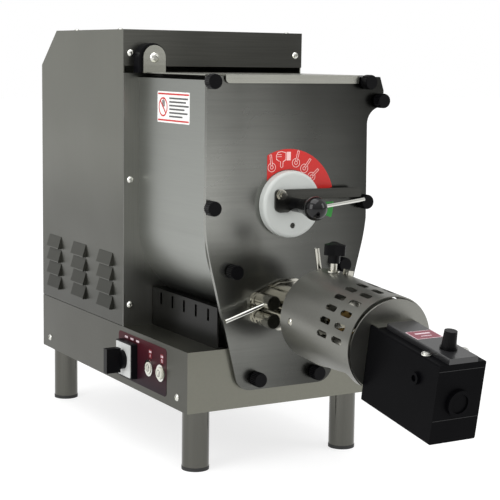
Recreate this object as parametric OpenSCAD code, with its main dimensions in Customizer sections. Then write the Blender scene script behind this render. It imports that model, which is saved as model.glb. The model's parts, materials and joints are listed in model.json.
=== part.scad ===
// Electric kneader and extruder for fresh dough, with a guard tube and a motor-driven cutter.
// Millimetres. X is to the right as the front is faced, Y runs to the back, Z is up.
// The origin is on the table, at the centre of the four feet.

/* [Cabinet] */
// Width of the base and of the housing
body_w = 300; // [280:1:320]
// Depth of the base cabinet
base_d = 518; // [500:1:540]
// Height of the feet, floor to the underside of the base
foot_h = 86; // [70:1:110]
// Height of the base cabinet
base_h = 85; // [75:1:100]
// Overall height
total_h = 603; // [590:1:620]
// Depth of the upper housing
housing_d = 314; // [300:1:330]
// Thickness of the housing sheet
sheet_t = 1.5; // [1:0.5:3]
// Diameter of a foot tube
foot_dia = 38; // [30:1:45]

/* [Tub] */
// Outer half width of the tub, which is also the radius of its round bottom
tub_r = 125.5; // [120:0.5:127]
// Height of the centre of the tub's round bottom
tub_zc = 325; // [320:1:327]
// Height of the tub's rim
rim_z = 535; // [525:1:536]
// Thickness of the front plate
plate_t = 6; // [4:1:8]
// Height of the front plate's top edge
plate_top = 541; // [538:1:541]

/* [Drive] */
// Height of the kneading shaft, the white disc and the gate handle
knead_z = 367.5; // [365:0.5:370]
// Radius swept by the kneading paddles
paddle_r = 104; // [90:1:108]
// Inner radius of the kneading trough
trough_r = 116; // [112:1:117]
// Inner radius of the extruder barrel
barrel_ri = 21.5; // [18:0.5:21.5]
// Outer radius of the extruder barrel
barrel_ro = 25; // [24:0.5:26]
// Gear module
gear_m = 4; // [4:1:4]
// Teeth on the screw's gear
teeth_screw = 25; // [25:1:25]
// Teeth on the kneading shaft's gear
teeth_knead = 45; // [45:1:45]

/* [Front fittings] */
// Radius of the white disc
disc_r = 46; // [40:1:50]
// Radius of a knurled knob
knob_r = 10.2; // [8:0.1:12]
// Distance from the front plate to the face of a knurled knob
knob_len = 17; // [15:1:22]
// Radius of the ball on the gate handle
ball_r = 16.2; // [14:0.1:18]

/* [Guard and cutter] */
// Outer radius of the guard tube
guard_r = 62; // [58:1:65]
// Length of the guard tube
guard_len = 158; // [140:1:165]
// Droop of the guard tube, degrees
guard_tilt = 4.5; // [0:0.5:6]
// Width of the cutter's case
case_w = 68; // [60:1:76]
// Length of the cutter's case
case_len = 140; // [120:1:150]
// Height of the cutter's case
case_h = 98; // [85:1:105]
// Droop of the cutter's case, degrees
case_tilt = 9.5; // [4:0.5:10]

/* [Hidden] */
$fn = 64;

half_w = body_w / 2;
base_front = -base_d / 2;
base_back = base_d / 2;
deck_z = foot_h + base_h;
housing_y = base_back - housing_d;
plate_front = base_front - plate_t;
seam = 0.8;
run_gap = 0.06;
screw_z = knead_z - (teeth_screw + teeth_knead) * gear_m / 2;

// Knurled knobs on the front plate: [x, z], from the upper left, round the bottom, to the upper right
knob_at = [[-123.6, 533.8], [-122.4, 366.4], [-87.3, 279], [-48, 127.2], [48, 127.2],
    [87.3, 279], [122.4, 366.4], [123.6, 533.8], [146.4, 507.8]];
stud_r = 3;

// Places of the controls on the left side: [y, z]
switch_at = [-78, 128];
on_at = [-146, 128];
off_at = [-183, 128];

lid_pivot = [-112, 563.4];
lid_z = plate_top + 0.3;
shaft_r = 10;
hub_r = 15;
gear_y = -20;
gear_w = 18;
barrel_end = -400;
nut_y = -337;
post_x = 39;
post_z = [211.5, 236];
guard_at = [0, -352, 228.5];
case_at = [0, base_front - 257, 244.5];
motor_back = 236;

// ---- helpers ----

function unit(v) = v / norm(v);

// Points of an arc of radius r that rounds the corner at b between a and c
function corner(a, b, c, r, n = 6) =
    let (u = unit(a - b), v = unit(c - b), half = acos(u * v) / 2)
    let (o = b + unit(u + v) * r / sin(half), p = b + u * r / tan(half) - o, q = b + v * r / tan(half) - o)
    let (a0 = atan2(p.y, p.x), turn = atan2(p.x * q.y - p.y * q.x, p * q))
    [for (i = [0:n]) o + r * [cos(a0 + turn * i / n), sin(a0 + turn * i / n)]];

// Closed outline through pts, each given as [x, y, corner radius]
function rounded(pts) =
    let (n = len(pts))
    [for (i = [0:n - 1])
        let (a = pts[(i + n - 1) % n], b = pts[i], c = pts[(i + 1) % n])
        each (b[2] > 0 ? corner([a.x, a.y], [b.x, b.y], [c.x, c.y], b[2]) : [[b.x, b.y]])];

// Extrudes an outline given in X and Z from y = front to y = back
module xz(front, back) {
    translate([0, back, 0]) rotate([90, 0, 0]) linear_extrude(back - front) children();
}

// Extrudes an outline given in Y and Z from x = left to x = right
module yz(left, right) {
    translate([left, 0, 0]) rotate([90, 0, 90]) linear_extrude(right - left) children();
}

// Cylinder along Y at [x, z]
module ycyl(at, r, front, back, r_front = -1) {
    translate([at[0], back, at[1]]) rotate([90, 0, 0])
        cylinder(r1 = r, r2 = r_front < 0 ? r : r_front, h = back - front);
}

// Cylinder along X at [y, z]
module xcyl(at, r, left, right) {
    translate([left, at[0], at[1]]) rotate([0, 90, 0]) cylinder(r = r, h = right - left);
}

// Box between two corners
module block(a, b) {
    translate(a) cube(b - a);
}

// Flat rounded rectangle, centred
module round_rect(w, h, r) {
    square([w - 2 * r, h], center = true);
    square([w, h - 2 * r], center = true);
    for (i = [-1, 1]) {
        for (j = [-1, 1]) {
            translate([i * (w / 2 - r), j * (h / 2 - r)]) circle(r = r);
        }
    }
}

// Domed screw head standing on z = 0, with a hexagon socket
module dome_head(r = 5.2, h = 3) {
    ball = (r * r + h * h) / (2 * h);
    difference() {
        intersection() {
            translate([0, 0, h - ball]) sphere(r = ball);
            cylinder(r = r, h = h);
        }
        translate([0, 0, h * 0.45]) cylinder(r = r * 0.42, h = h, $fn = 6);
    }
}

// Places children on the front of a plane y = const, their z axis towards the viewer
module on_front(x, y, z) {
    translate([x, y, z]) rotate([90, 0, 0]) children();
}

// Places children on the left or right side, their z axis outwards
module on_side(side, y, z) {
    translate([side * half_w, y, z]) rotate([0, side * 90, 0]) children();
}

module guard_frame() {
    translate(guard_at) rotate([guard_tilt, 0, 0]) children();
}

module case_frame() {
    translate(case_at) rotate([case_tilt, 0, 0]) children();
}

// U outline of a trough: half round below zc, straight up to top
module u_outline(r, zc, top) {
    translate([0, zc]) circle(r = r);
    translate([-r, zc]) square([2 * r, top - zc]);
}

// ---- involute gears ----

function inv(a) = tan(a) - a * PI / 180;
function gear_r(teeth) = teeth * gear_m / 2;

// Half angle of a tooth at radius r, with the backlash taken off
function tooth_half(teeth, r) =
    let (rb = gear_r(teeth) * cos(20))
    90 / teeth - 0.35 / gear_r(teeth) * 90 / PI + (inv(20) - inv(acos(min(1, rb / r)))) * 180 / PI;

function gear_points(teeth) =
    let (rb = gear_r(teeth) * cos(20), root = gear_r(teeth) - 1.25 * gear_m, tip = gear_r(teeth) + 0.95 * gear_m)
    let (rs = [rb, (rb + gear_r(teeth)) / 2, gear_r(teeth), (gear_r(teeth) + tip) / 2, tip])
    [for (i = [0:teeth - 1])
        let (mid = i * 360 / teeth, foot = tooth_half(teeth, rb) + 0.3)
        each concat(
            [root * [cos(mid - foot), sin(mid - foot)]],
            [for (r = rs) r * [cos(mid - tooth_half(teeth, r)), sin(mid - tooth_half(teeth, r))]],
            [for (k = [4:-1:0]) rs[k] * [cos(mid + tooth_half(teeth, rs[k])), sin(mid + tooth_half(teeth, rs[k]))]],
            [root * [cos(mid + foot), sin(mid + foot)]])];

module gear(teeth, z, first_tooth) {
    xz(gear_y - gear_w, gear_y) translate([0, z]) rotate(first_tooth) polygon(gear_points(teeth));
}

// ---- base ----

// Folded steel cabinet, open below, with holes for the switch and the push buttons
module base_cabinet() {
    color("#77776e") difference() {
        block([-half_w, base_front, foot_h], [half_w, base_back, deck_z]);
        block([-half_w + 2, base_front + 2, foot_h - 1], [half_w - 2, base_back - 2, deck_z - 2]);
        xcyl(switch_at, 12, -half_w - 1, -half_w + 3);
        xcyl(on_at, 8.8, -half_w - 1, -half_w + 3);
        xcyl(off_at, 8.8, -half_w - 1, -half_w + 3);
    }
}

// Bottom sheet with two rows of vent slots
module bottom_cover() {
    color("#6a6a66") difference() {
        block([-half_w + 2.2, base_front + 2.2, foot_h], [half_w - 2.2, base_back - 2.2, foot_h + 2]);
        for (i = [-3:3]) {
            for (side = [-1, 1]) {
                translate([side * 55, i * 45, foot_h - 1]) linear_extrude(4) round_rect(60, 8, 3.9);
            }
        }
    }
}

module at_feet() {
    inset = 28.4;
    for (sx = [-1, 1]) {
        for (sy = [-1, 1]) {
            translate([sx * (half_w - inset), sy * (base_back - inset), 0]) children();
        }
    }
}

// Four steel tubes, each closed at the top
module feet() {
    color("#8c8a80") at_feet() difference() {
        translate([0, 0, 5]) cylinder(d = foot_dia, h = foot_h - 5);
        translate([0, 0, 4]) cylinder(d = foot_dia - 3, h = foot_h - 12);
    }
}

// Rubber plugs that the machine stands on
module foot_pads() {
    color("#1a1a1a") at_feet() {
        cylinder(d = foot_dia + 0.6, h = 5);
        translate([0, 0, 5]) cylinder(d = foot_dia - 3, h = 14);
    }
}

// ---- housing ----

louvre_l = 48;
louvre_h = 19.5;
louvre_y = [6, 105, 204];
louvre_z = [256, 234.2, 212.4, 190.6];
hood = 6;

// Cross-section of a louvre hood, x outwards from the sheet, z up from its lower edge
module hood_outline(depth, h) {
    polygon([[-0.5, 0], [depth, 0], [depth, 1.5], [0.6, h], [-0.5, h]]);
}

module at_louvres() {
    for (side = [-1, 1]) {
        for (y = louvre_y) {
            for (z = louvre_z) {
                translate([side * half_w, y, z]) rotate([90, 0, side < 0 ? 180 : 0]) children();
            }
        }
    }
}

// Two sides, top, sloping rear edge and back, folded from one sheet, with pressed louvres
module housing_shell() {
    top = total_h;
    front = housing_y + sheet_t + 0.5;
    color("#75756c") difference() {
        union() {
            difference() {
                yz(-half_w, half_w)
                    polygon([[front, deck_z + seam], [front, top], [196, top], [base_back, 549],
                        [base_back, deck_z + seam]]);
                yz(-half_w + sheet_t, half_w - sheet_t)
                    polygon([[front - 9, deck_z - 9], [front - 9, top - sheet_t], [195.4, top - sheet_t],
                        [base_back - sheet_t, 548.3], [base_back - sheet_t, deck_z - 9]]);
            }
            at_louvres() translate([0, 0, -louvre_l / 2]) linear_extrude(louvre_l) hood_outline(hood, louvre_h);
        }
        at_louvres() translate([0, -1, -louvre_l / 2 + 1.2]) linear_extrude(louvre_l - 2.4)
            polygon([[-3, 0], [hood - 1.2, 0], [hood - 1.2, 2], [-1, louvre_h - 2], [-3, louvre_h - 2]]);
    }
}

// Sheet behind the tub, folded back along its top edge
module front_panel() {
    color("#4a4a46") difference() {
        union() {
            block([-half_w, housing_y, deck_z], [half_w, housing_y + sheet_t, 541]);
            block([-half_w + 3, housing_y, 541 - sheet_t], [half_w - 3, housing_y + 12, 541]);
        }
        ycyl([0, knead_z], 24, housing_y - 1, housing_y + 3);
        ycyl([0, screw_z], barrel_ro, housing_y - 1, housing_y + 3);
    }
}

// Narrow sheet above the lid, folded back along its lower edge
module upper_panel() {
    color("#5a5a54") union() {
        block([-half_w, housing_y, 551], [half_w, housing_y + sheet_t, total_h]);
        block([-half_w + 3, housing_y, 551], [half_w - 3, housing_y + 14, 551 + sheet_t]);
    }
}

// Domed screws of the sheets
module panel_screws() {
    color("#a8a8a0") {
        for (side = [-1, 1]) {
            for (z = [203, 387, 569.5]) {
                on_front(side * 139, housing_y, z) dome_head();
            }
            for (y = [-228, 230]) {
                on_side(side, y, 103) dome_head();
            }
            for (y = [-24, 136]) {
                translate([side * 141, y, total_h]) dome_head(4.5, 2.5);
            }
        }
    }
}

// ---- tub ----

// Outer skin of the tub
module tub_skin() {
    color("#9a9c99") difference() {
        xz(base_front, housing_y) u_outline(tub_r, tub_zc, rim_z);
        xz(base_front - 1, housing_y + 1) u_outline(tub_r - 2, tub_zc, rim_z + 1);
    }
}

liner_t = 1.5;

// Inner kneading trough with the rim that joins it to the skin, and the throat above the screw
module tub_liner() {
    color("#b4b6b2") difference() {
        union() {
            xz(base_front, housing_y) u_outline(trough_r + liner_t, knead_z, rim_z);
            xz(base_front, housing_y) translate([-tub_r + 2, rim_z - 2]) square([2 * tub_r - 4, 2]);
        }
        xz(base_front - 1, housing_y + 1) u_outline(trough_r, knead_z, rim_z + 1);
        block([-20, base_front + 19, screw_z], [20, housing_y - 20, knead_z]);
    }
}

// Slotted walls that carry the tub on the deck
module tub_cradle() {
    wall_x = 103;
    flange_z = 228;
    color("#6e6e68") for (side = [-1, 1]) {
        mirror([side < 0 ? 1 : 0, 0, 0]) difference() {
            union() {
                block([wall_x - 2, base_front + 4, deck_z], [wall_x, housing_y - 2, flange_z]);
                block([84.5, base_front + 4, flange_z - 2], [wall_x, housing_y - 2, flange_z]);
                block([wall_x - 16, base_front + 4, deck_z], [wall_x, housing_y - 2, deck_z + 2]);
            }
            for (k = [-2:2]) {
                block([wall_x - 4, -157 + k * 36 - 3, 206], [wall_x + 1, -157 + k * 36 + 3, 223]);
            }
        }
    }
}

// Barrel of the extruder, with the saddle below the trough's throat
module extruder_barrel() {
    color("#8d8d88") difference() {
        union() {
            ycyl([0, screw_z], barrel_ro, barrel_end, housing_y);
            block([-24, base_front + 15, screw_z], [24, housing_y - 16, screw_z + 26]);
        }
        ycyl([0, screw_z], barrel_ri, barrel_end - 1, housing_y + 1);
        block([-20, base_front + 19, screw_z], [20, housing_y - 20, screw_z + 40]);
        ycyl([0, knead_z], trough_r + liner_t, base_front - 0.5, housing_y + 1);
    }
}

// ---- front plate ----

module plate_outline() {
    left = -127.5;
    right = 129;
    shoulder_z = 322;
    foot_z = 111;
    foot_x = 74;
    notch = [153, 475];
    lobe = [145, 509];
    polygon(concat(
        rounded([[150, plate_top, 1], [left, plate_top, 2], [left, shoulder_z, 260], [-foot_x, foot_z, 24],
            [foot_x, foot_z, 24], [right, shoulder_z, 260]]),
        [for (a = [180:-8:108]) notch + 24 * [cos(a), sin(a)]],
        [for (a = [-70:10:10]) lobe + 11 * [cos(a), sin(a)]],
        [[156, 522]]));
}

// Thick plate that closes the front of the tub and carries the disc, the barrel and the knobs
module front_plate() {
    color("#55554f") difference() {
        xz(plate_front, base_front) plate_outline();
        ycyl([0, knead_z], hub_r + run_gap, plate_front - 1, base_front + 1);
        ycyl([0, screw_z], barrel_ro, plate_front - 1, base_front + 1);
        for (p = knob_at) {
            ycyl(p, stud_r, plate_front - 1, base_front + 1);
        }
    }
}

// Threaded studs that the knobs turn on
module plate_studs() {
    color("#9a9a94") for (p = knob_at) {
        ycyl(p, stud_r, plate_front - 12, base_front);
    }
}

// Knurled plastic knob with a collar and a blind bore
module knurled_knob(i) {
    at = knob_at[i - 1];
    flutes = 24;
    face = plate_front - knob_len;
    color("#141416") difference() {
        union() {
            xz(face + 1, plate_front - 3) translate(at) polygon([for (k = [0:2 * flutes - 1])
                (knob_r - (k % 2) * 0.8) * [cos(k * 180 / flutes), sin(k * 180 / flutes)]]);
            ycyl(at, knob_r - 0.9, face + 1, face + 1.01);
            ycyl(at, knob_r - 0.9, face, face + 1);
            ycyl(at, 7.5, plate_front - 3, plate_front - 0.3);
        }
        ycyl(at, stud_r + run_gap, plate_front - 13, plate_front + 1);
    }
}

module knob_1() { knurled_knob(1); }
module knob_2() { knurled_knob(2); }
module knob_3() { knurled_knob(3); }
module knob_4() { knurled_knob(4); }
module knob_5() { knurled_knob(5); }
module knob_6() { knurled_knob(6); }
module knob_7() { knurled_knob(7); }
module knob_8() { knurled_knob(8); }
module knob_9() { knurled_knob(9); }

// ---- lid ----

// Arched plastic block that the lid's ear turns against
module hinge_block() {
    color("#101012") difference() {
        xz(housing_y - 18, housing_y) {
            translate([lid_pivot.x - 1, lid_pivot.y - 1]) circle(r = 21.5);
            translate([lid_pivot.x - 22.5, 541.5]) square([43, lid_pivot.y - 542.5]);
        }
        ycyl(lid_pivot, 4, housing_y - 19, housing_y + 1);
    }
}

// Shouldered screw that the ear turns on
module hinge_screw() {
    color("#c8c8c2") {
        ycyl(lid_pivot, 4, housing_y - 22.8, housing_y);
        on_front(lid_pivot.x, housing_y - 22.8, lid_pivot.y) dome_head(7.4, 4);
    }
}

// Flat lid with a front flange, and the ear it hinges on
module lid() {
    back = housing_y - 3;
    ear_back = housing_y - 19.5;
    left = -101.5;
    right = 111;
    flange_z = 531.5;
    color("#8a8a84") difference() {
        union() {
            translate([0, 0, lid_z]) linear_extrude(1.5)
                polygon([[-127, base_front + 0.5], [left, base_front + 0.5], [left, plate_front - 4],
                    [right, plate_front - 4], [right, plate_front + 1], [129, plate_front + 1], [129, back],
                    [-86, back], [-86, ear_back - 3], [-127, ear_back - 3]]);
            xz(plate_front - 4, plate_front - 2.5)
                polygon(rounded([[left, lid_z + 1.5, 0], [left, flange_z, 6], [right, flange_z, 1],
                    [right, lid_z + 1.5, 0]]));
            xz(ear_back - 3, ear_back) {
                translate(lid_pivot) circle(r = 17.7);
                translate([lid_pivot.x - 17.7, lid_z]) square([35.4, lid_pivot.y - lid_z]);
            }
        }
        ycyl(lid_pivot, 4 + run_gap, ear_back - 4, ear_back + 1);
    }
}

// ---- gate handle and disc ----

gate_face = plate_front - 14;

// White plastic disc with a rounded rim, its hub, and a screw hole
module gate_disc() {
    color("#e4e7e5") difference() {
        union() {
            translate([0, plate_front - 0.5, knead_z]) rotate([90, 0, 0]) rotate_extrude()
                polygon(concat([[0, 0], [disc_r, 0]], corner([disc_r, 0], [disc_r, 13.5], [0, 13.5], 5), [[0, 13.5]]));
            ycyl([0, knead_z], hub_r, plate_front - 1, base_front + 1.5);
        }
        ycyl([0, knead_z - 29], 4, gate_face - 1, gate_face + 5);
        ycyl([0, knead_z], shaft_r + run_gap, plate_front - 1, base_front + 3);
        ycyl([-22, 382], 4, gate_face - 1, gate_face + 8);
    }
}

// Flat steel lever: a broad foot on the disc and a long bar to the right
module gate_lever() {
    color("#4e4e4a") difference() {
        xz(gate_face - 4, gate_face)
            polygon(rounded([[-30, 389, 6], [-30, 357.5, 8], [-9, 357.5, 8], [10, 374.5, 5], [110, 374.5, 4],
                [110, 388, 6]]));
        ycyl([-22, 382], 4, gate_face - 5, gate_face + 1);
    }
}

// Hexagon bolt with a washer, through the lever
module lever_bolt() {
    color("#a09a88") {
        ycyl([-22, 382], 4, gate_face - 12, gate_face + 7.9);
        difference() {
            union() {
                ycyl([-22, 382], 7.5, gate_face - 5.5, gate_face - 4);
                translate([-22, gate_face - 5.5, 382]) rotate([90, 0, 0]) cylinder(r = 6.6, h = 4.5, $fn = 6);
            }
            ycyl([-22, 382], 4, gate_face - 13, gate_face);
        }
    }
}

ball_out = 56;

// Flared grip with a ball end
module gate_handle() {
    color("#101012") translate([0, gate_face - 4, knead_z]) rotate([90, 0, 0]) {
        rotate_extrude() polygon([[0, 0], [9.5, 0], [9.5, 22], [11, 30], [14.5, 44], [14.5, 50], [0, 50]]);
        translate([0, 0, ball_out - 4]) sphere(r = ball_r);
    }
}

// Round bar that runs from the ball back to the end of the lever
module gate_rod() {
    rod_r = 2.7;
    start = [0, gate_face - ball_out + 2, knead_z + 0.5];
    finish = [112, gate_face - 4 - rod_r, knead_z + 3.5];
    run = finish - start;
    color("#c4c2b8") difference() {
        translate(start) rotate([0, acos(run.z / norm(run)), atan2(run.y, run.x)])
            cylinder(r = rod_r, h = norm(run));
        translate([0, gate_face - ball_out, knead_z]) sphere(r = ball_r);
        ycyl([0, knead_z], 14.5, gate_face - 54, gate_face - 44);
    }
}

// Curved shutter inside the trough, on an arm fixed to the hub. It closes the throat when the handle is up
module gate_shutter() {
    closed_by = 105;
    span = 15;
    start = base_front + 1.5;
    color("#a0a29e") difference() {
        union() {
            intersection() {
                difference() {
                    ycyl([0, knead_z], trough_r - 0.6, start, housing_y - 8);
                    ycyl([0, knead_z], trough_r - 3, start - 1, housing_y);
                }
                xz(start, housing_y) translate([0, knead_z]) rotate(270 - closed_by)
                    polygon([[0, 0], [160, -160 * tan(span)], [160, 160 * tan(span)]]);
            }
            xz(start, start + 4) translate([0, knead_z]) rotate(270 - closed_by)
                translate([0, -12]) square([trough_r - 2, 24]);
            ycyl([0, knead_z], 22, start, start + 4);
        }
        ycyl([0, knead_z], shaft_r + 0.3, start - 1, start + 6);
    }
}

// ---- kneading shaft and screw ----

// Shaft with three pairs of paddles
module kneader() {
    color("#b8b8b2") {
        ycyl([0, knead_z], shaft_r, base_front - 4, gear_y + 14);
        for (k = [0:2]) {
            translate([0, -215 + k * 55, knead_z]) rotate([0, 30 + k * 60, 0]) {
                difference() {
                    cylinder(r = 6, h = 2 * paddle_r - 8, center = true);
                    rotate([90, 0, 0]) cylinder(r = shaft_r, h = 30, center = true);
                }
                for (s = [-1, 1]) {
                    translate([0, 0, s * (paddle_r - 12)]) rotate([0, 0, 25]) cube([8, 34, 24], center = true);
                }
            }
        }
    }
}

module kneader_gear() {
    color("#6b6b66") difference() {
        gear(teeth_knead, knead_z, 270 + 180 / teeth_knead);
        ycyl([0, knead_z], shaft_r, gear_y - gear_w - 1, gear_y + 1);
    }
}

module auger() {
    pitch = 42;
    flight_len = 318;
    front = barrel_end + 8;
    color("#a8a8a2") {
        translate([0, front + flight_len, screw_z]) rotate([90, 0, 0])
            linear_extrude(flight_len, twist = 360 * flight_len / pitch, slices = 100, $fn = 20) union() {
                circle(r = shaft_r);
                polygon(concat([[0, 0]], [for (a = [-14:14:14]) (barrel_ri - 0.5) * [cos(a), sin(a)]]));
            }
        ycyl([0, screw_z], shaft_r, front + flight_len, gear_y + 50);
    }
}

module auger_gear() {
    color("#6b6b66") difference() {
        gear(teeth_screw, screw_z, 90);
        ycyl([0, screw_z], shaft_r, gear_y - gear_w - 1, gear_y + 1);
    }
}

// Bronze die with a ring of holes
module die() {
    color("#a9823f") difference() {
        ycyl([0, screw_z], barrel_ro, barrel_end - 8, barrel_end);
        for (k = [0:7]) {
            ycyl([15 * cos(k * 45), screw_z + 15 * sin(k * 45)], 3.2, barrel_end - 9, barrel_end + 1);
        }
    }
}

// Ring nut that holds the die on the end of the barrel
module die_nut() {
    color("#8a8a84") difference() {
        union() {
            ycyl([0, screw_z], 31, barrel_end - 10, barrel_end + 8);
            for (k = [0:3]) {
                translate([0, 0, screw_z]) rotate([0, 45 + k * 90, 0]) translate([0, 0, -screw_z])
                    block([-5, barrel_end - 6, screw_z + 28], [5, barrel_end + 6, screw_z + 34]);
            }
        }
        ycyl([0, screw_z], barrel_ro + run_gap, barrel_end - 8.1, barrel_end + 9);
        ycyl([0, screw_z], 21, barrel_end - 11, barrel_end);
    }
}

// Large nut on the barrel behind the guard, with its hollow tommy pin
module barrel_nut() {
    pin_r = 3.3;
    color("#8f8f89") difference() {
        union() {
            ycyl([0, screw_z], 36, nut_y - 14, nut_y);
            translate([-3, nut_y - 8, 316]) rotate([0, 170.5, 0]) cylinder(r = pin_r, h = 60);
        }
        ycyl([0, screw_z], barrel_ro + run_gap, nut_y - 17, nut_y + 1);
        translate([-3, nut_y - 8, 316]) rotate([0, 170.5, 0]) cylinder(r = pin_r / 2, h = 24, center = true);
    }
}

// Two-layer lozenge flange that clamps the barrel to the front plate
module head_flange() {
    color("#84847d") difference() {
        union() {
            xz(plate_front - 4, plate_front) translate([0, screw_z]) lozenge(0);
            xz(plate_front - 6, plate_front - 4) translate([0, screw_z]) lozenge(4);
        }
        ycyl([0, screw_z], barrel_ro, plate_front - 15, plate_front + 1);
    }
}

// Flange outline, drawn in by inset
module lozenge(inset) {
    end_x = 60 - inset;
    end_z = 18 - inset * 0.7;
    mid_z = 35.5 - inset;
    polygon(rounded([[end_x, -end_z, 8], [end_x, end_z, 8], [14, mid_z, 10], [-14, mid_z, 10],
        [-end_x, end_z, 8], [-end_x, -end_z, 8], [-14, -mid_z, 10], [14, -mid_z, 10]]));
}

// Four round clamp nuts with a groove near the flange
module clamp_posts() {
    color("#a2a096") for (side = [-1, 1]) {
        for (z = post_z) {
            ycyl([side * post_x, z], 10.4, plate_front - 13, plate_front - 6);
            ycyl([side * post_x, z], 9.4, plate_front - 16, plate_front - 13);
            ycyl([side * post_x, z], 10.4, plate_front - 32, plate_front - 16);
        }
    }
}

// Bar screwed into the upper left clamp nut
module clamp_rod() {
    color("#b4b2a8") difference() {
        translate([-post_x, plate_front - 21, post_z[1]]) rotate([0, -107, 0]) cylinder(r = 3, h = 72);
        ycyl([-post_x, post_z[1]], 10.4, plate_front - 50, plate_front);
    }
}

// ---- guard tube ----

slot_pitch = 16.36;
slot_mid = 94.7;

// Guard tube with two rows of slots over its upper half and an outlet window below
module guard_tube() {
    color("#85857e") guard_frame() difference() {
        ycyl([0, 0], guard_r, -guard_len, 0);
        ycyl([0, 0], guard_r - sheet_t, -guard_len - 1, 1);
        for (row = [99, 132]) {
            for (k = [-5:5]) {
                translate([0, -row, 0]) rotate([0, 90 - slot_mid - k * slot_pitch, 0])
                    translate([0, 0, guard_r - 8]) linear_extrude(12) round_rect(8, 22, 3.4);
            }
        }
        translate([0, -24, guard_r - 20]) cylinder(r = 4.8, h = 30);
        translate([0, 0, -guard_r - 6]) linear_extrude(50)
            polygon(rounded([[-37, -45, 8], [37, -45, 8], [51, -146, 8], [37, -146, 0], [37, -164, 0],
                [-37, -164, 0], [-37, -146, 0], [-51, -146, 8]]));
    }
}

// Ring inside the rear of the guard tube, clamped on the barrel
module guard_collar() {
    color("#7c7c76") guard_frame() difference() {
        ycyl([0, 0], guard_r - sheet_t, -34, -12);
        ycyl([0, 0], barrel_ro + 3.2, -35, -11);
        translate([0, -24, guard_r - 20]) cylinder(r = 4.8, h = 30);
    }
}

// Three-lobed clamp knob with a blind bore
module clamp_knob() {
    neck_z = 13;
    head_z = 24;
    head_h = 14;
    lobes = [for (k = [0:5]) (k % 2 == 0 ? 22 : 8.5) * [sin(60 * k + 30), cos(60 * k + 30)]];
    color("#17171a") guard_frame() translate([0, -24, guard_r]) difference() {
        union() {
            translate([0, 0, neck_z]) cylinder(r = 8, h = head_z - neck_z);
            translate([0, 0, head_z]) linear_extrude(head_h)
                polygon(rounded([for (k = [0:5]) [lobes[k].x, lobes[k].y, 4]]));
        }
        translate([0, 0, neck_z - 1]) cylinder(r = 4.8 + run_gap, h = 14);
    }
}

// Stud of the clamp knob, the two side screws of the guard and the small clip behind its slots
module guard_screws() {
    color("#a8a69a") guard_frame() {
        translate([0, -24, guard_r - 19.9]) cylinder(r = 4.8, h = 43);
        translate([0, -24, guard_r + 0.2]) cylinder(r = 8.4, h = 2.4);
        for (side = [-1, 1]) {
            translate([side * guard_r, -24, 0]) rotate([0, side * 90, 0]) dome_head(5, 2.6);
        }
        rotate([0, 9, 0]) difference() {
            translate([-4, -50, guard_r - 0.5]) cube([8, 12, 8]);
            translate([-5, -47, guard_r - 1.5]) cube([10, 6, 6]);
            ycyl([0, 0], guard_r, -60, 0);
        }
    }
}

// ---- cutter ----

case_x = case_w / 2;
shaft_drop = -33;
boss_drop = -49;
knob_s = -110;

// Bent steel plate that fills the mouth of the guard and carries the cutter
module cutter_bracket() {
    arm_x = 57;
    mouth_r = 59.5;
    mouth_z = -29;
    color("#83837c") case_frame() difference() {
        union() {
            xz(0, 2) translate([0, mouth_z]) circle(r = mouth_r);
            block([-31, -14, 0], [31, 2, 1.5]);
            for (x = [-arm_x, arm_x - 2]) {
                block([x, 1, -45], [x + 2, 22, -26]);
            }
        }
        ycyl([0, shaft_drop], 8, -1, 3);
    }
}

// Black case of the cutter, with a thick back plate
module cutter_case() {
    wall = 3;
    color("#1b1b1d") case_frame() difference() {
        union() {
            xz(-case_len, -0.2) polygon(rounded([[-case_x, 0, 2], [-case_x, -case_h, 2], [case_x, -case_h, 2],
                [case_x, 0, 2]]));
        }
        block([-case_x + wall, -case_len + wall, -case_h + wall], [case_x - wall, -wall, -wall]);
        ycyl([0, shaft_drop], 5.4, -wall - 1, 1);
        translate([0, knob_s, -wall - 1]) cylinder(r = 3 + run_gap, h = wall + 2);
        xcyl([-101, -29.5], 5.5, -case_x - 1, -case_x + 4);
    }
}

// Cover raised in the middle between two shoulders
module cutter_cover() {
    color("#202022") case_frame() difference() {
        xz(-case_len, -16) polygon(rounded([[-21, 0, 0], [-21, 7, 1.5], [21, 7, 1.5], [21, 0, 0]]));
        translate([0, knob_s, -1]) cylinder(r = 3 + run_gap, h = 20);
    }
}

// Tapered control knob on a round base
module speed_knob() {
    color("#121214") case_frame() translate([0, knob_s, 7]) {
        translate([0, 0, 0.3]) cylinder(r = 10.5, h = 2);
        translate([0, 0, 2.3]) cylinder(r1 = 9, r2 = 7.8, h = 20);
        translate([0, 0, -8]) cylinder(r = 3, h = 8.3);
    }
}

// Socket on the left, round boss on the front and the shoulder screws
module cutter_fittings() {
    color("#2a2a2c") case_frame() {
        difference() {
            xcyl([-101, -29.5], 7.5, -case_x - 4, -case_x);
            xcyl([-101, -29.5], 4, -case_x - 5, -case_x - 1);
        }
        xcyl([-101, -29.5], 5.5, -case_x, -case_x + 3);
        difference() {
            ycyl([0, boss_drop], 16.5, -case_len - 4.5, -case_len);
            ycyl([0, boss_drop], 12, -case_len - 5, -case_len - 2.5);
        }
        for (side = [-1, 1]) {
            translate([side * 27.5, -105, 0]) dome_head(5.5, 2.6);
        }
    }
}

// Cutter shaft with a two-armed knife in front of the die
module knife() {
    reach = 98;
    color("#c2c2bc") case_frame() {
        ycyl([0, shaft_drop], 4, -30, reach);
        difference() {
            union() {
                ycyl([0, shaft_drop], 8, reach - 16, reach - 4);
                translate([0, reach - 5.5, shaft_drop]) cube([42, 3, 10], center = true);
            }
            ycyl([0, shaft_drop], 4, reach - 18, reach + 1);
        }
    }
}

// ---- controls ----

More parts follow.
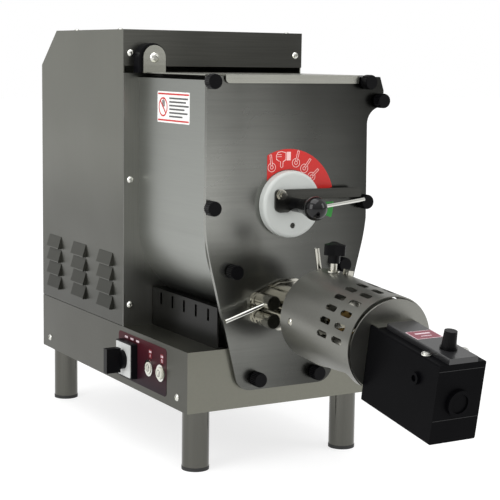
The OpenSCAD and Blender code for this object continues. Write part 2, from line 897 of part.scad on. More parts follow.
// Square black frame with its pale plate, and the switch body behind the sheet
module switch_frame() {
    side = -half_w;
    color("#161618") difference() {
        union() {
            yz(side - 10, side) translate(switch_at) round_rect(52, 52, 2.5);
            yz(side + 2.2, side + 48) translate(switch_at) round_rect(44, 44, 2);
            xcyl(switch_at, 11.9, side - 1, side + 3);
        }
        xcyl(switch_at, 4 + run_gap, side - 11, side + 10);
    }
}

// Thin pale plate on the front of the frame
module switch_plate() {
    face = -half_w - 10;
    color("#c9ccca") difference() {
        yz(face - 1, face) translate(switch_at) round_rect(48, 48, 2);
        xcyl(switch_at, 7, face - 2, face + 1);
    }
}

// Round knob with a flat grip
module switch_handle() {
    face = -half_w - 11.3;
    color("#121214") {
        xcyl(switch_at, 14, face - 6, face);
        block([face - 28, switch_at.x - 5.5, switch_at.y - 18], [face - 6, switch_at.x + 5.5, switch_at.y + 18]);
        xcyl(switch_at, 4, face, face + 18);
    }
}

// Metal rings round the push buttons
module button_bezels() {
    color("#c0c0b8") for (p = [on_at, off_at]) {
        difference() {
            xcyl(p, 12, -half_w - 3.5, -half_w);
            xcyl(p, 8.8, -half_w - 4, -half_w + 1);
        }
    }
}

// Push button: a flat cap and its stem
module push_button(at, proud) {
    xcyl(at, 8.4, -half_w - proud, -half_w + 14);
}

module button_on() {
    color("#b0b0a8") push_button(on_at, 4.5);
}

module button_off() {
    color("#b8b8ae") push_button(off_at, 6);
}

// ---- drive ----

// Gear motor on the screw's axis, its bearings for both shafts, cooling ribs and terminal box
module gearmotor() {
    motor_r = 46;
    gearbox_back = 96;
    color("#7d8083") {
        difference() {
            union() {
                block([-55, 6, deck_z], [55, gearbox_back, screw_z + 58]);
                ycyl([0, screw_z], motor_r, gearbox_back, motor_back);
                for (k = [0:17]) {
                    translate([0, 0, screw_z]) rotate([0, k * 20, 0])
                        block([-1.5, 104, motor_r - 2], [1.5, motor_back - 34, motor_r + 6]);
                }
                block([-35, 120, screw_z + 40], [35, 180, screw_z + 78]);
            }
            ycyl([0, screw_z], shaft_r + run_gap, 5, 40);
        }
        difference() {
            union() {
                ycyl([0, knead_z], 28, housing_y + sheet_t, housing_y + 15);
                ycyl([0, screw_z], 34, housing_y + sheet_t, housing_y + 15);
            }
            ycyl([0, knead_z], shaft_r + run_gap, housing_y, housing_y + 16);
            ycyl([0, screw_z], shaft_r + run_gap, housing_y, housing_y + 16);
        }
    }
}

// Three-pin power inlet, low on the back
module power_inlet() {
    at = [95, 128];
    color("#222222") {
        difference() {
            xz(base_back, base_back + 4) translate(at) round_rect(50, 32, 4);
            xz(base_back + 0.8, base_back + 5) translate(at) round_rect(27, 20, 3);
        }
        for (p = [[-7, 2], [0, -3], [7, 2]]) {
            xz(base_back, base_back + 3.5) translate(at + p) square([2, 5], center = true);
        }
    }
}

base_cabinet();
bottom_cover();
feet();
foot_pads();
housing_shell();
front_panel();
upper_panel();
panel_screws();
tub_skin();
tub_liner();
tub_cradle();
extruder_barrel();
front_plate();
plate_studs();
knob_1();
knob_2();
knob_3();
knob_4();
knob_5();
knob_6();
knob_7();
knob_8();
knob_9();
hinge_block();
hinge_screw();
lid();
gate_disc();
gate_lever();
lever_bolt();
gate_handle();
gate_rod();
gate_shutter();
kneader();
kneader_gear();
auger();
auger_gear();
die();
die_nut();
barrel_nut();
head_flange();
clamp_posts();
clamp_rod();
guard_tube();
guard_collar();
clamp_knob();
guard_screws();
cutter_bracket();
cutter_case();
cutter_cover();
speed_knob();
cutter_fittings();
knife();
switch_frame();
switch_plate();
switch_handle();
button_bezels();
button_on();
button_off();
gearmotor();
power_inlet();
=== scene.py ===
"""Looks of the electric kneader and extruder: materials, labels, small trim, light and camera."""
import bpy
import json
from math import acos, cos, degrees, radians, sin
from mathutils import Matrix, Vector


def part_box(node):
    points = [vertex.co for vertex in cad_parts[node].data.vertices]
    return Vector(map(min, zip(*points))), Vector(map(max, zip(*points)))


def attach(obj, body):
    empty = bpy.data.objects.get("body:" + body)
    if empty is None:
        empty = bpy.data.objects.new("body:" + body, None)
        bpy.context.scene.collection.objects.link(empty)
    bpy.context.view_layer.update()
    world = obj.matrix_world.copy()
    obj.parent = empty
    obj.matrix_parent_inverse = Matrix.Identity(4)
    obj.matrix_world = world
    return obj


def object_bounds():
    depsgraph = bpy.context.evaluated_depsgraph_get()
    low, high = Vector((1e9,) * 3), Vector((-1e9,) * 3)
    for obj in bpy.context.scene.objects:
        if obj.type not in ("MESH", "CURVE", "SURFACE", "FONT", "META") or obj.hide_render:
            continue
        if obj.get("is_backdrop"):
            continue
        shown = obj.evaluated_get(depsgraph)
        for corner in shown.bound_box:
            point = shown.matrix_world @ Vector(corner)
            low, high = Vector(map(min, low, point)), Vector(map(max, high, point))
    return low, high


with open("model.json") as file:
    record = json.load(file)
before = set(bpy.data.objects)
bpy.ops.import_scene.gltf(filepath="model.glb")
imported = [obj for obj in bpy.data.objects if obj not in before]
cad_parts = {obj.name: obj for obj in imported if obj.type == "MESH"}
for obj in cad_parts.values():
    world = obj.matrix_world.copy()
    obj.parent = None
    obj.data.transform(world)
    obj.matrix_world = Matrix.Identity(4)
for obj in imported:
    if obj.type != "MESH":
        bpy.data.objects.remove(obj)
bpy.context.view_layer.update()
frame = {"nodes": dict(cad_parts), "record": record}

MM = 0.001
NODES = frame["nodes"]
JOINTS = {j["name"]: j for j in frame["record"]["behaviour"]["joints"]}


# ---------------------------------------------------------------- materials

def shader(name, color, metallic, roughness, **sockets):
    """A Principled material and its node tree's short cuts."""
    mat = bpy.data.materials.new(name)
    mat.use_nodes = True
    tree = mat.node_tree
    bsdf = tree.nodes["Principled BSDF"]
    bsdf.inputs["Base Color"].default_value = (*color, 1.0)
    bsdf.inputs["Metallic"].default_value = metallic
    bsdf.inputs["Roughness"].default_value = roughness
    for key, value in sockets.items():
        bsdf.inputs[key.replace("_", " ")].default_value = value
    return mat, tree, bsdf


def noise_on(tree, scale, stretch=(1, 1, 1), detail=4.0):
    """Noise on object coordinates, stretched along the axes."""
    coords = tree.nodes.new("ShaderNodeTexCoord")
    mapping = tree.nodes.new("ShaderNodeMapping")
    mapping.inputs["Scale"].default_value = stretch
    noise = tree.nodes.new("ShaderNodeTexNoise")
    noise.inputs["Scale"].default_value = scale
    noise.inputs["Detail"].default_value = detail
    tree.links.new(coords.outputs["Object"], mapping.inputs["Vector"])
    tree.links.new(mapping.outputs["Vector"], noise.inputs["Vector"])
    return noise


def ramp(tree, source, low, high, start=0.3, stop=0.7):
    """Colour ramp from low to high over a noise."""
    node = tree.nodes.new("ShaderNodeValToRGB")
    node.color_ramp.elements[0].position = start
    node.color_ramp.elements[1].position = stop
    node.color_ramp.elements[0].color = (*low, 1)
    node.color_ramp.elements[1].color = (*high, 1)
    tree.links.new(source.outputs["Fac"], node.inputs["Fac"])
    return node


def bump(tree, bsdf, source, strength, distance):
    """Surface relief from a noise."""
    node = tree.nodes.new("ShaderNodeBump")
    node.inputs["Strength"].default_value = strength
    node.inputs["Distance"].default_value = distance
    tree.links.new(source.outputs["Fac"], node.inputs["Height"])
    tree.links.new(node.outputs["Normal"], bsdf.inputs["Normal"])


def shade(color, k):
    """Colour k times as bright, at most white."""
    return tuple(min(1.0, c * k) for c in color)


def fade(tree, source, axis, stops, coord="Object"):
    """Painted light: multiply a colour along one axis of a coordinate, so that a sheet looks brighter or
    darker as if lit or reflecting the room; stops are (value, factor) from low to high.
    """
    coords = tree.nodes.new("ShaderNodeTexCoord")
    split = tree.nodes.new("ShaderNodeSeparateXYZ")
    span = tree.nodes.new("ShaderNodeMapRange")
    span.inputs["From Min"].default_value = stops[0][0]
    span.inputs["From Max"].default_value = stops[-1][0]
    tree.links.new(coords.outputs[coord], split.inputs["Vector"])
    tree.links.new(split.outputs[axis], span.inputs["Value"])
    node = tree.nodes.new("ShaderNodeValToRGB")
    node.color_ramp.interpolation = "EASE"
    while len(node.color_ramp.elements) < len(stops):
        node.color_ramp.elements.new(0.5)
    reach = stops[-1][0] - stops[0][0]
    for k, (at, factor) in enumerate(stops):
        node.color_ramp.elements[k].position = (at - stops[0][0]) / reach
        node.color_ramp.elements[k].color = (factor, factor, factor, 1)
    tree.links.new(span.outputs["Result"], node.inputs["Fac"])
    return multiply(tree, source, node.outputs["Color"])


def multiply(tree, a, b):
    """Product of two colour sockets."""
    mix = tree.nodes.new("ShaderNodeMix")
    mix.data_type = "RGBA"
    mix.blend_type = "MULTIPLY"
    mix.inputs["Factor"].default_value = 1.0
    tree.links.new(a, mix.inputs["A"])
    tree.links.new(b, mix.inputs["B"])
    return mix.outputs["Result"]


def steel(name, color, roughness, grain="z", contrast=0.12, mottle=0.0, grain_size=420.0, ridges=0.05,
          painted_light_fades=()):
    """Brushed steel with its grain along one axis, soft cloudy wear, and painted light: brightness painted
    along axes in place of reflections and shade.
    """
    mat, tree, bsdf = shader(name, color, 1.0, roughness)
    stretch = {"x": (0.02, 1, 1), "y": (1, 0.02, 1), "z": (1, 1, 0.02), "none": (1, 1, 1)}[grain]
    lines = noise_on(tree, grain_size, stretch, 3.0)
    cloud = noise_on(tree, 9.0, (1, 1, 1), 4.0)
    tint = ramp(tree, lines, shade(color, 1 - contrast), shade(color, 1 + contrast))
    wear = ramp(tree, cloud, (1 - mottle,) * 3, (1.0,) * 3, 0.35, 0.65)
    result = multiply(tree, tint.outputs["Color"], wear.outputs["Color"])
    # Painted reflections and shade multiplied into the colour
    for one in painted_light_fades:
        result = fade(tree, result, *one)
    tree.links.new(result, bsdf.inputs["Base Color"])
    rough = ramp(tree, cloud, (roughness * 0.9,) * 3, (min(1.0, roughness * 1.15),) * 3)
    tree.links.new(rough.outputs["Color"], bsdf.inputs["Roughness"])
    bump(tree, bsdf, lines, ridges, 0.0002)
    return mat


def plastic(name, color, roughness, grain=900.0, strength=0.15, vary=0.15, specular=0.5):
    """Moulded plastic with a fine grain."""
    mat, tree, bsdf = shader(name, color, 0.0, roughness, Specular_IOR_Level=specular)
    spots = noise_on(tree, grain, (1, 1, 1), 2.0)
    cloud = noise_on(tree, 25.0)
    tint = ramp(tree, cloud, shade(color, 1 - vary), shade(color, 1 + vary))
    tree.links.new(tint.outputs["Color"], bsdf.inputs["Base Color"])
    bump(tree, bsdf, spots, strength, 0.0003)
    return mat


# Painted reflection: walls that face left are painted darker, standing in for the darker part of the room
# they would reflect
LEFT_PAINTED_SHADE = ("X", ((-1.0, 0.40), (-0.5, 1.0), (1.0, 1.0)), "Normal")
# Painted shade and reflection: the side housing is painted darker towards the bottom and brighter at the top
SIDE = steel("satin_side", (0.225, 0.227, 0.20), 0.36, "z", 0.015, 0.04, 300.0, 0.01,
             [("Z", ((0.17, 0.30), (0.30, 0.50), (0.45, 0.88), (0.60, 1.08)))])
# Painted reflection: the base's left-facing walls are painted darker
BASE = steel("satin_base", (0.185, 0.184, 0.155), 0.33, "y", 0.02, 0.05, 300.0, 0.02, [LEFT_PAINTED_SHADE])
PANEL = steel("satin_panel", (0.27, 0.27, 0.25), 0.32, "z", 0.04, 0.06)
# Painted reflection: the upper panel is painted brighter at its left end and darker to the right
UPPER = steel("brushed_upper", (0.085, 0.085, 0.077), 0.30, "x", 0.10, 0.05, 420.0, 0.05,
              [("X", ((-0.15, 1.35), (-0.02, 0.75), (0.15, 0.5)))])
# Painted shade: the tub is painted darker towards its bottom
TUB = steel("satin_tub", (0.33, 0.34, 0.32), 0.36, "y", 0.02, 0.03, 420.0, 0.02,
            [("Z", ((0.21, 0.62), (0.28, 0.90), (0.36, 1.0), (0.54, 1.0)))])
# Painted reflection and shade: the front plate is painted bright at its left edge, darker to the right, and
# darker at its bottom and top
PLATE = steel("brushed_plate", (0.165, 0.167, 0.155), 0.25, "x", 0.05, 0.12, 420.0, 0.04,
              [("X", ((-0.13, 1.75), (-0.07, 1.25), (0.05, 0.55), (0.15, 0.24))),
               ("Z", ((0.11, 0.55), (0.24, 0.98), (0.36, 1.08), (0.54, 0.70)))])
LID = steel("brushed_lid", (0.43, 0.43, 0.385), 0.25, "x", 0.06, 0.06)
LEVER = steel("lever_steel", (0.060, 0.060, 0.055), 0.24, "x", 0.10, 0.10)
FEET = steel("foot_steel", (0.105, 0.104, 0.093), 0.15, "z", 0.04, 0.04)
GUARD = steel("guard_steel", (0.225, 0.225, 0.205), 0.34, "none", 0.03, 0.08, 420.0, 0.02)
TURNED = steel("turned_steel", (0.46, 0.45, 0.40), 0.12, "y", 0.03, 0.04, 420.0, 0.01)
DARK_STEEL = steel("cradle_steel", (0.012, 0.012, 0.011), 0.28, "z", 0.08, 0.08)
DISC_SCREW = steel("disc_screw_steel", (0.05, 0.05, 0.045), 0.30, "none", 0.05, 0.05)
CHROME = steel("polished_steel", (0.62, 0.62, 0.58), 0.10, "none", 0.03, 0.03, 420.0, 0.0)
GEARS = steel("gear_steel", (0.35, 0.35, 0.33), 0.35, "none", 0.08, 0.10)
CAP_STEEL = steel("dark_cap", (0.10, 0.10, 0.09), 0.22, "none", 0.04, 0.10)
BRONZE = steel("bronze", (0.58, 0.38, 0.14), 0.30, "none", 0.10, 0.10)
ALLOY = steel("cast_alloy", (0.35, 0.36, 0.37), 0.55, "none", 0.12, 0.10, 260.0)
BLACK = plastic("black_plastic", (0.004, 0.004, 0.005), 0.36, specular=0.10)
KNOB_BLACK = plastic("knob_black", (0.003, 0.003, 0.0035), 0.30, 700.0, 0.06, specular=0.08)
BALL_BLACK = plastic("ball_black", (0.002, 0.002, 0.0025), 0.07, 500.0, 0.01, specular=0.35)
CASE_BLACK = plastic("case_black", (0.002, 0.002, 0.0025), 0.42, 1100.0, 0.08, specular=0.03)
COVER_BLACK = plastic("cover_black", (0.014, 0.014, 0.015), 0.28, 1100.0, 0.10, specular=0.65)
WHITE = plastic("white_nylon", (0.50, 0.52, 0.50), 0.35, 500.0, 0.05, 0.02)
PALE = plastic("pale_plate", (0.50, 0.51, 0.50), 0.35, 500.0, 0.05, 0.03)
CAPS = plastic("translucent_boot", (0.55, 0.55, 0.48), 0.12, 300.0, 0.05, 0.06)
RUBBER = plastic("rubber", (0.012, 0.012, 0.012), 0.65, 800.0, 0.3)
RED = plastic("label_red", (0.52, 0.008, 0.005), 0.35, 600.0, 0.03, 0.04)
GREEN = plastic("label_green", (0.006, 0.24, 0.016), 0.35, 600.0, 0.03, 0.04)
PRINT_WHITE = plastic("print_white", (0.80, 0.80, 0.78), 0.4, 600.0, 0.03, 0.02)
PRINT_GREY = plastic("print_grey", (0.07, 0.07, 0.07), 0.4, 600.0, 0.03, 0.05)
PRINT_DARK = plastic("print_dark", (0.05, 0.03, 0.03), 0.4, 600.0, 0.03, 0.05)
PRINT_PALE = plastic("print_pale_pink", (0.80, 0.52, 0.50), 0.4, 600.0, 0.03, 0.03)
PRINT_PINK = plastic("print_pale", (0.60, 0.46, 0.50), 0.4, 600.0, 0.03, 0.05)
LINE_BLACK = plastic("seam_black", (0.003, 0.003, 0.003), 0.6, 600.0, 0.03, 0.05)
TAG_RED = plastic("tag_red", (0.13, 0.008, 0.013), 0.35, 600.0, 0.03, 0.05, 0.15)
MAROON = plastic("label_maroon", (0.17, 0.020, 0.040), 0.32, 600.0, 0.03, 0.08)


def maroon_fade():
    """Control decal: redder along its top, dark purple below."""
    mat, tree, bsdf = shader("decal_maroon", (0.12, 0.015, 0.035), 0.0, 0.35, Specular_IOR_Level=0.05)
    coords = tree.nodes.new("ShaderNodeTexCoord")
    split = tree.nodes.new("ShaderNodeSeparateXYZ")
    span = tree.nodes.new("ShaderNodeMapRange")
    low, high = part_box("base_cabinet")
    span.inputs["From Min"].default_value = low[2]
    span.inputs["From Max"].default_value = high[2]
    tree.links.new(coords.outputs["Object"], split.inputs["Vector"])
    tree.links.new(split.outputs["Z"], span.inputs["Value"])
    blend = tree.nodes.new("ShaderNodeValToRGB")
    blend.color_ramp.elements[0].position = 0.15
    blend.color_ramp.elements[1].position = 0.95
    blend.color_ramp.elements[0].color = (0.014, 0.006, 0.010, 1)
    blend.color_ramp.elements[1].color = (0.050, 0.007, 0.011, 1)
    tree.links.new(span.outputs["Result"], blend.inputs["Fac"])
    tree.links.new(blend.outputs["Color"], bsdf.inputs["Base Color"])
    bump(tree, bsdf, noise_on(tree, 600.0), 0.03, 0.0002)
    return mat


DECAL = maroon_fade()

FINISH = {
    "base_cabinet": BASE, "bottom_cover": DARK_STEEL, "feet": FEET, "foot_pads": RUBBER,
    "housing_shell": SIDE, "front_panel": PANEL, "upper_panel": UPPER, "panel_screws": CHROME,
    "tub_skin": TUB, "tub_liner": TUB, "tub_cradle": DARK_STEEL, "extruder_barrel": TURNED,
    "front_plate": PLATE, "plate_studs": TURNED, "hinge_block": BLACK, "hinge_screw": CHROME, "lid": LID,
    "gate_disc": WHITE, "gate_lever": LEVER, "lever_bolt": TURNED, "gate_handle": BALL_BLACK,
    "gate_rod": CHROME, "gate_shutter": TURNED, "kneader": TURNED, "kneader_gear": GEARS, "auger": TURNED,
    "auger_gear": GEARS, "die": BRONZE, "die_nut": TURNED, "barrel_nut": TURNED, "head_flange": TURNED,
    "clamp_posts": TURNED, "clamp_rod": CHROME, "guard_tube": GUARD, "guard_collar": GUARD,
    "clamp_knob": KNOB_BLACK, "guard_screws": TURNED, "cutter_bracket": GUARD, "cutter_case": CASE_BLACK,
    "cutter_cover": COVER_BLACK, "speed_knob": KNOB_BLACK, "cutter_fittings": CASE_BLACK, "knife": TURNED,
    "switch_frame": BLACK, "switch_plate": PALE, "switch_handle": KNOB_BLACK, "button_bezels": CHROME,
    "button_on": CAPS, "button_off": CAPS, "gearmotor": ALLOY, "power_inlet": BLACK,
}
FINISH.update({f"knob_{i}": KNOB_BLACK for i in range(1, 10)})
for node, mat in FINISH.items():
    slots = NODES[node].data.materials
    slots.clear()
    slots.append(mat)

# Small rounded edges, width in mm, so that edges catch the light
EDGES = {
    "base_cabinet": 1.2, "housing_shell": 0.7, "front_plate": 0.6, "cutter_case": 1.0, "cutter_cover": 0.8,
    "gate_lever": 0.4, "lid": 0.3, "head_flange": 0.4, "switch_frame": 0.8, "switch_handle": 1.2,
    "speed_knob": 0.5, "clamp_knob": 0.8, "cutter_bracket": 0.3, "gate_disc": 0.3, "hinge_block": 0.6,
}
for node, width in EDGES.items():
    mod = NODES[node].modifiers.new("edge", "BEVEL")
    mod.width = width * MM
    mod.segments = 2
    mod.limit_method = "ANGLE"
    mod.angle_limit = radians(50)
    mod.harden_normals = False


# ---------------------------------------------------------------- flat pieces

def rounded(w, h, r, at=(0, 0)):
    """Rounded rectangle, w by h, about at."""
    loop = []
    for cx, cy, start in ((w / 2 - r, h / 2 - r, 0), (r - w / 2, h / 2 - r, 90),
                          (r - w / 2, r - h / 2, 180), (w / 2 - r, r - h / 2, 270)):
        for k in range(7):
            a = radians(start + 15 * k)
            loop.append((at[0] + cx + r * cos(a), at[1] + cy + r * sin(a)))
    return loop


def circle(r, at=(0, 0), n=40):
    return [(at[0] + r * cos(radians(360 * k / n)), at[1] + r * sin(radians(360 * k / n))) for k in range(n)]


def arc(r, a0, a1, at=(0, 0), n=24):
    angles = [radians(a0 + (a1 - a0) * k / n) for k in range(n + 1)]
    return [(at[0] + r * cos(a), at[1] + r * sin(a)) for a in angles]


def bar(a, b, w):
    """Straight bar of width w from a to b."""
    run = (Vector(b) - Vector(a)).normalized()
    side = Vector((-run.y, run.x)) * w / 2
    return [tuple(Vector(p) + s * side) for p, s in ((a, 1), (a, -1), (b, -1), (b, 1))]


def place(origin, u, v):
    """Matrix whose X is u, Y is v and Z is the outward normal."""
    u = Vector(u).normalized()
    v = Vector(v).normalized()
    n = u.cross(v)
    m = Matrix((u, v, n)).transposed().to_4x4()
    m.translation = Vector(origin)
    return m


PRINT = {"lift": 0.3, "thick": 0.12, "edge": 0.02}
OVERPRINT = {"lift": 0.42, "thick": 0.1, "edge": 0.02}


def decal(name, loops, at, body, material, lift=0.0, thick=0.3, edge=0.05, slot="white_plastic"):
    """Thin flat piece in mm: outer loops and holes, standing lift above the plane of at."""
    curve = bpy.data.curves.new(name, "CURVE")
    curve.dimensions = "2D"
    curve.fill_mode = "BOTH"
    curve.extrude = (thick / 2 - edge) * MM
    curve.bevel_depth = edge * MM
    curve.bevel_resolution = 1
    for loop in loops:
        spline = curve.splines.new("POLY")
        spline.points.add(len(loop) - 1)
        for point, (x, y) in zip(spline.points, loop):
            point.co = (x * MM, y * MM, 0, 1)
        spline.use_cyclic_u = True
    source = bpy.data.objects.new(name + "_curve", curve)
    bpy.context.scene.collection.objects.link(source)
    mesh = bpy.data.meshes.new_from_object(source.evaluated_get(bpy.context.evaluated_depsgraph_get()))
    bpy.data.objects.remove(source)
    mesh.name = name
    mesh.transform(at @ Matrix.Translation((0, 0, (lift + thick / 2) * MM)))
    mesh.materials.clear()
    mesh.materials.append(material)
    piece = bpy.data.objects.new(name, mesh)
    bpy.context.scene.collection.objects.link(piece)
    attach(piece, body)
    return piece


# ---------------------------------------------------------------- labels on the front plate

plate_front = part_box("front_plate")[0][1]
gate = Vector(JOINTS["gate_turn"]["pos_m"])
on_plate = place((gate.x, plate_front, gate.z), (1, 0, 0), (0, 0, 1))
R_IN, R_OUT, LEFT_X = 47, 75, -34
RED_END, GREEN_END = 16, -17
red_outer = degrees(acos(LEFT_X / R_OUT))
red_inner = degrees(acos(LEFT_X / R_IN))
red_band = arc(R_OUT, RED_END, red_outer) + arc(R_IN, red_inner, RED_END)
green_band = arc(R_OUT, 0, GREEN_END) + arc(R_IN + 1, GREEN_END, 0)
decal("gate_label_red", [red_band], on_plate, "frame", RED)
decal("gate_label_green", [green_band], on_plate, "frame", GREEN)


def polar(angle, length):
    """Vector of a length at an angle in degrees."""
    return Vector((cos(radians(angle)), sin(radians(angle)))) * length


def lever_icon(name, angle, radius, lean, reach):
    """Small outline of the disc and its lever: two open rings and a long bar that leans from their centre."""
    mid = polar(angle, radius)
    tip = mid + polar(lean, reach)
    run = polar(lean, 1)

    def open_ring(r_out, r_in, gap):
        first, last = lean + gap, lean + 360 - gap
        return [arc(r_out, first, last, mid) + arc(r_in, last, first, mid)]

    outer = open_ring(6.3, 5.6, 17)
    inner = open_ring(2.6, 1.9, 40)
    rod = [bar(mid + run * 1.9, tip, 3.4), bar(mid + run * 2.6, tip - run * 0.7, 2.0)]
    for part, loops in (("ring", outer), ("hub", inner), ("rod", rod)):
        decal(f"{name}_{part}", loops, on_plate, "frame", PRINT_PALE, **PRINT)


# Angle and radius of each small disc about the gate, then the lean and reach of its lever
for k, icon in enumerate(((118, 57, 97, 17.5), (78, 57, 76, 17), (62, 54, 52, 16.5), (44, 52, 42, 15))):
    lever_icon(f"gate_icon_{k + 1}", *icon)


def hand_outline(g):
    """Closed hand with the thumb down, left of its cuff, g mm wider all round."""
    return [(-4.2 + g, 70.6 + g), (-12, 72 + g), (-17.5 - g, 71 + g), (-20 - g, 67), (-20 - g, 61 - g),
            (-16, 58.6 - g), (-13.4 - g, 58), (-13.4 - g, 51), (-11, 49.2 - g), (-8.8 + g, 51),
            (-8.6 + g, 57.4 - g), (-4.2 + g, 60 - g)]


decal("no_hand", [hand_outline(0), hand_outline(-0.8)], on_plate, "frame", PRINT_PALE, **PRINT)
for k, z in enumerate((64.6, 67.4)):
    crease = bar((-19, z), (-11.5, z + 0.3), 0.6)
    decal(f"no_hand_finger_{k + 1}", [crease], on_plate, "frame", PRINT_PALE, **PRINT)
decal("no_hand_cuff", [rounded(6.4, 11.6, 0.5, (0, 65.2))], on_plate, "frame", PRINT_PALE, **PRINT)

# Dark slotted screw in the lower hole of the gate disc
HOLE_DOWN = 29
disc_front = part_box("gate_disc")[0][1]
disc_hole = place((gate.x, disc_front, gate.z - HOLE_DOWN * MM), (1, 0, 0), (0, 0, 1))
decal("disc_screw", [circle(3.6), rounded(6, 0.9, 0.3)], disc_hole, "gate", DISC_SCREW,
      lift=-4.6, thick=3.4, edge=0.2, slot="gears")

# ---------------------------------------------------------------- label on the tub

LABEL_Y, LABEL_Z = -0.16375, 0.4955
tub_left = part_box("tub_skin")[0][0]
on_tub = place((tub_left, LABEL_Y, LABEL_Z), (0, -1, 0), (0, 0, 1))
decal("tub_label", [rounded(97, 43, 2)], on_tub, "frame", PRINT_WHITE)
for k, z in enumerate((18.2, -18.2)):
    decal(f"tub_label_line_{k + 1}", [rounded(93, 2.2, 0.4, (0, z))], on_tub, "frame", RED, **PRINT)
decal("tub_label_ring", [circle(13.5, (-31, 0)), circle(11.2, (-31, 0))], on_tub, "frame", RED, **PRINT)
decal("tub_label_slash", [bar((-39.5, 8.5), (-22.5, -8.5), 2.2)], on_tub, "frame", RED,
      lift=0.45, thick=0.12, edge=0.02)
palm = rounded(9, 8, 2, (-30, -3))
fingers = [rounded(2, 9, 0.9, (-33, 5)), rounded(2, 10, 0.9, (-30, 6)), rounded(2, 9, 0.9, (-27, 5))]
decal("tub_label_hand", [palm, *fingers], on_tub, "frame", PRINT_DARK, **PRINT)
for row, length in enumerate((56, 50, 58, 46, 55, 40)):
    decal(f"tub_label_row_{row + 1}", [rounded(length, 2.3, 0.5, (-12 + length / 2, 12.5 - 5 * row))], on_tub,
          "frame", PRINT_GREY, **PRINT)

# ---------------------------------------------------------------- control decal

CENTRE_Y, CENTRE_Z = -0.1185, 0.130
base_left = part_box("base_cabinet")[0][0]
on_base = place((base_left, CENTRE_Y, CENTRE_Z), (0, -1, 0), (0, 0, 1))


def on_decal(node):
    """Centre of a node on the control decal, mm."""
    low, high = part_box(node)
    return ((CENTRE_Y - (low[1] + high[1]) / 2) / MM, ((low[2] + high[2]) / 2 - CENTRE_Z) / MM)


on_xy, off_xy, switch_xy = on_decal("button_on"), on_decal("button_off"), on_decal("switch_frame")
BUTTON_HOLE_R, SWITCH_HOLE_R = 8.8, 12
holes = [circle(BUTTON_HOLE_R, on_xy), circle(BUTTON_HOLE_R, off_xy), circle(SWITCH_HOLE_R, switch_xy)]
decal("control_decal", [rounded(157, 68, 6), *holes], on_base, "frame", DECAL)
for k, x in enumerate((-52, -33, -14)):
    decal(f"decal_tag_{k + 1}", [rounded(10, 3, 0.8, (x, 28.2))], on_base, "frame", PRINT_PINK, **PRINT)
for name, xy in (("on", on_xy), ("off", off_xy)):
    top = (xy[0], xy[1] + 20)
    decal(f"button_{name}_square", [rounded(9, 13, 1, top)], on_base, "frame", TAG_RED, **PRINT)
    low_at = (top[0], top[1] - 3)
    sign = [rounded(1.1, 4.4, 0.4, low_at)] if name == "on" else [circle(2.3, low_at), circle(1.5, low_at)]
    decal(f"button_{name}_sign", sign, on_base, "frame", PRINT_PINK, **OVERPRINT)
    for k, x in enumerate((-2.4, 0.3, 2.6)):
        stroke = rounded(1.7, 3.2, 0.4, (top[0] + x, top[1] + 3))
        decal(f"button_{name}_mark_{k + 1}", [stroke], on_base, "frame", PRINT_PINK, **OVERPRINT)

# Ring and slanted bar on the face of each button
for name in ("on", "off"):
    low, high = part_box(f"button_{name}")
    cap = place((low[0], (low[1] + high[1]) / 2, (low[2] + high[2]) / 2), (0, -1, 0), (0, 0, 1))
    for part, loops in (("face", [circle(5.2), circle(4.3)]), ("bar", [bar((0.2, -3.6), (3.4, 3.2), 1.1)])):
        decal(f"button_{name}_{part}", loops, cap, f"button_{name}_body", PRINT_GREY,
              lift=0.02, thick=0.12, edge=0.02, slot="button_caps")

# ---------------------------------------------------------------- cutter trim

case_up = Vector(JOINTS["speed_turn"]["axis"]).normalized()
case_front = Vector((0, -case_up.z, case_up.y))
knob_at = Vector(JOINTS["speed_turn"]["pos_m"])
COVER_TOP, CASE_LENGTH, KNOB_BACK = 7, 140, 110
case_origin = knob_at - case_front * KNOB_BACK * MM - case_up * COVER_TOP * MM


def on_case(x, out, up):
    """Point in the cutter's own frame: right, forward and up, mm."""
    return case_origin + Vector((x, 0, 0)) * MM + case_front * out * MM + case_up * up * MM


case_top = place(on_case(0, 0, COVER_TOP), (1, 0, 0), -case_front)
LABEL_BACK = -62.5
decal("cutter_label", [rounded(38, 25, 1.5, (0, LABEL_BACK))], case_top, "frame", PRINT_PINK)
decal("cutter_label_field", [rounded(36, 23, 1.2, (0, LABEL_BACK))], case_top, "frame", MAROON, **PRINT)
decal("cutter_label_row_1", [rounded(22, 3.4, 1, (0, -59))], case_top, "frame", PRINT_PINK, **OVERPRINT)
decal("cutter_label_row_2", [rounded(16, 1.6, 0.5, (0, -67))], case_top, "frame", PRINT_PINK, **OVERPRINT)
case_face = place(on_case(0, CASE_LENGTH, 0), (1, 0, 0), case_up)
for k, z in enumerate((-8, -69)):
    decal(f"cutter_seam_{k + 1}", [rounded(67, 0.6, 0.2, (0, z))], case_face, "frame", LINE_BLACK,
          lift=-0.1, thick=0.2, edge=0.02, slot="black_plastic")

# Bright heads over the two shoulder screws of the case
SCREW_X, SCREW_OUT = 27.5, 105
for k, x in enumerate((-SCREW_X, SCREW_X)):
    head = place(on_case(x, SCREW_OUT, 0), (1, 0, 0), -case_front)
    decal(f"case_screw_{k + 1}_rim", [circle(6)], head, "frame", CHROME,
          lift=0.05, thick=1.4, edge=0.3, slot="steel_turned")
    decal(f"case_screw_{k + 1}_head", [circle(4.6), rounded(5.4, 1.1, 0.3)], head, "frame", CHROME,
          lift=1.4, thick=1.5, edge=0.3, slot="steel_turned")

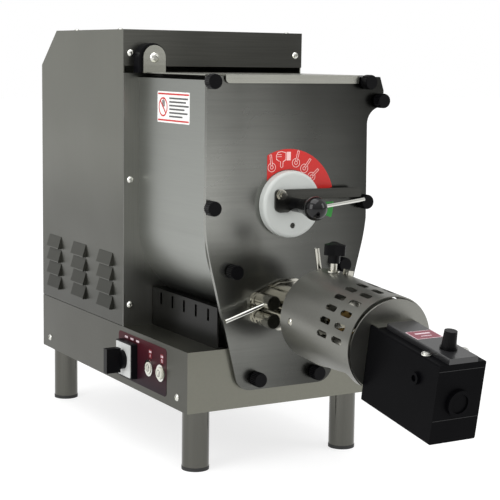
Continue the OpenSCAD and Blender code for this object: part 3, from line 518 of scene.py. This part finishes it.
# Dark ends of the four clamp nuts
posts_low, posts_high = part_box("clamp_posts")
POST_R = 10.4
inset = POST_R * MM
for i, x in enumerate((posts_low[0] + inset, posts_high[0] - inset)):
    for j, z in enumerate((posts_low[2] + inset, posts_high[2] - inset)):
        face = place((x, posts_low[1], z), (1, 0, 0), (0, 0, 1))
        decal(f"post_cap_{2 * i + j + 1}", [circle(9.6)], face, "frame", CAP_STEEL,
              thick=0.5, edge=0.15, slot="steel_turned")

# ---------------------------------------------------------------- stage, light and camera

# The floor glows a little, so that it stays almost white under the part
floor_mat, floor_tree, floor_bsdf = shader("floor", (0.3, 0.3, 0.3), 0.0, 0.7,
                                           Emission_Color=(1, 1, 1, 1), Emission_Strength=0.74)
paper = noise_on(floor_tree, 40.0)
paper_tint = ramp(floor_tree, paper, (0.295, 0.295, 0.295), (0.305, 0.305, 0.305))
floor_tree.links.new(paper_tint.outputs["Color"], floor_bsdf.inputs["Base Color"])
bpy.ops.mesh.primitive_plane_add(size=30, location=(0, 0, 0))
floor = bpy.context.object
floor.name = "floor"
floor.data.materials.append(floor_mat)
floor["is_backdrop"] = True

world = bpy.data.worlds.new("studio")
bpy.context.scene.world = world
world.use_nodes = True
# White behind the part; its metals reflect a dimmer room, brighter above than at the sides
tree = world.node_tree
backdrop = tree.nodes["Background"]
backdrop.inputs["Color"].default_value = (1, 1, 1, 1)
backdrop.inputs["Strength"].default_value = 1.0
room = tree.nodes.new("ShaderNodeBackground")
direction = tree.nodes.new("ShaderNodeTexCoord")
parts = tree.nodes.new("ShaderNodeSeparateXYZ")
sky = tree.nodes.new("ShaderNodeValToRGB")
sky.color_ramp.elements[0].position = 0.0
sky.color_ramp.elements[0].color = (0.50, 0.50, 0.49, 1)
sky.color_ramp.elements[1].position = 0.8
sky.color_ramp.elements[1].color = (1.0, 1.0, 1.0, 1)
tree.links.new(direction.outputs["Generated"], parts.inputs["Vector"])
tree.links.new(parts.outputs["Z"], sky.inputs["Fac"])
tree.links.new(sky.outputs["Color"], room.inputs["Color"])
path = tree.nodes.new("ShaderNodeLightPath")
blend = tree.nodes.new("ShaderNodeMixShader")
tree.links.new(path.outputs["Is Camera Ray"], blend.inputs["Fac"])
tree.links.new(room.outputs["Background"], blend.inputs[1])
tree.links.new(backdrop.outputs["Background"], blend.inputs[2])
tree.links.new(blend.outputs["Shader"], tree.nodes["World Output"].inputs["Surface"])
bpy.context.scene.view_settings.view_transform = "Standard"


def softbox(name, location, target, size, power):
    """Rectangular soft light at location, facing target."""
    light = bpy.data.lights.new(name, "AREA")
    light.shape = "RECTANGLE"
    light.size, light.size_y = size
    light.energy = power
    lamp = bpy.data.objects.new(name, light)
    bpy.context.scene.collection.objects.link(lamp)
    lamp.location = location
    lamp.rotation_euler = (Vector(target) - Vector(location)).to_track_quat("-Z", "Y").to_euler()
    return lamp


softbox("top_soft", (-0.4, -0.3, 2.4), (0, -0.1, 0.3), (2.0, 2.0), 30)
softbox("left_soft", (-2.2, -0.8, 1.2), (0, 0, 0.3), (1.2, 1.8), 22)
softbox("right_soft", (2.0, -1.8, 1.4), (0, -0.2, 0.3), (1.0, 1.6), 14)

YAW, PITCH, ROLL = -0.528, 0.138, 0.015
forward = Vector((-sin(YAW) * cos(PITCH), cos(YAW) * cos(PITCH), -sin(PITCH)))
right = Vector((forward.y, -forward.x, 0)).normalized()
up = right.cross(forward)
rolled_x = cos(ROLL) * right + sin(ROLL) * up
rolled_y = cos(ROLL) * up - sin(ROLL) * right
lens = bpy.data.cameras.new("camera")
lens.lens = 99.45
lens.sensor_width = 36
camera = bpy.data.objects.new("camera", lens)
bpy.context.scene.collection.objects.link(camera)
pose = Matrix((rolled_x, rolled_y, -forward)).transposed().to_4x4()
pose.translation = (-0.99531, -1.87052, 0.56453)
camera.matrix_world = pose
bpy.context.scene.camera = camera

low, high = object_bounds()
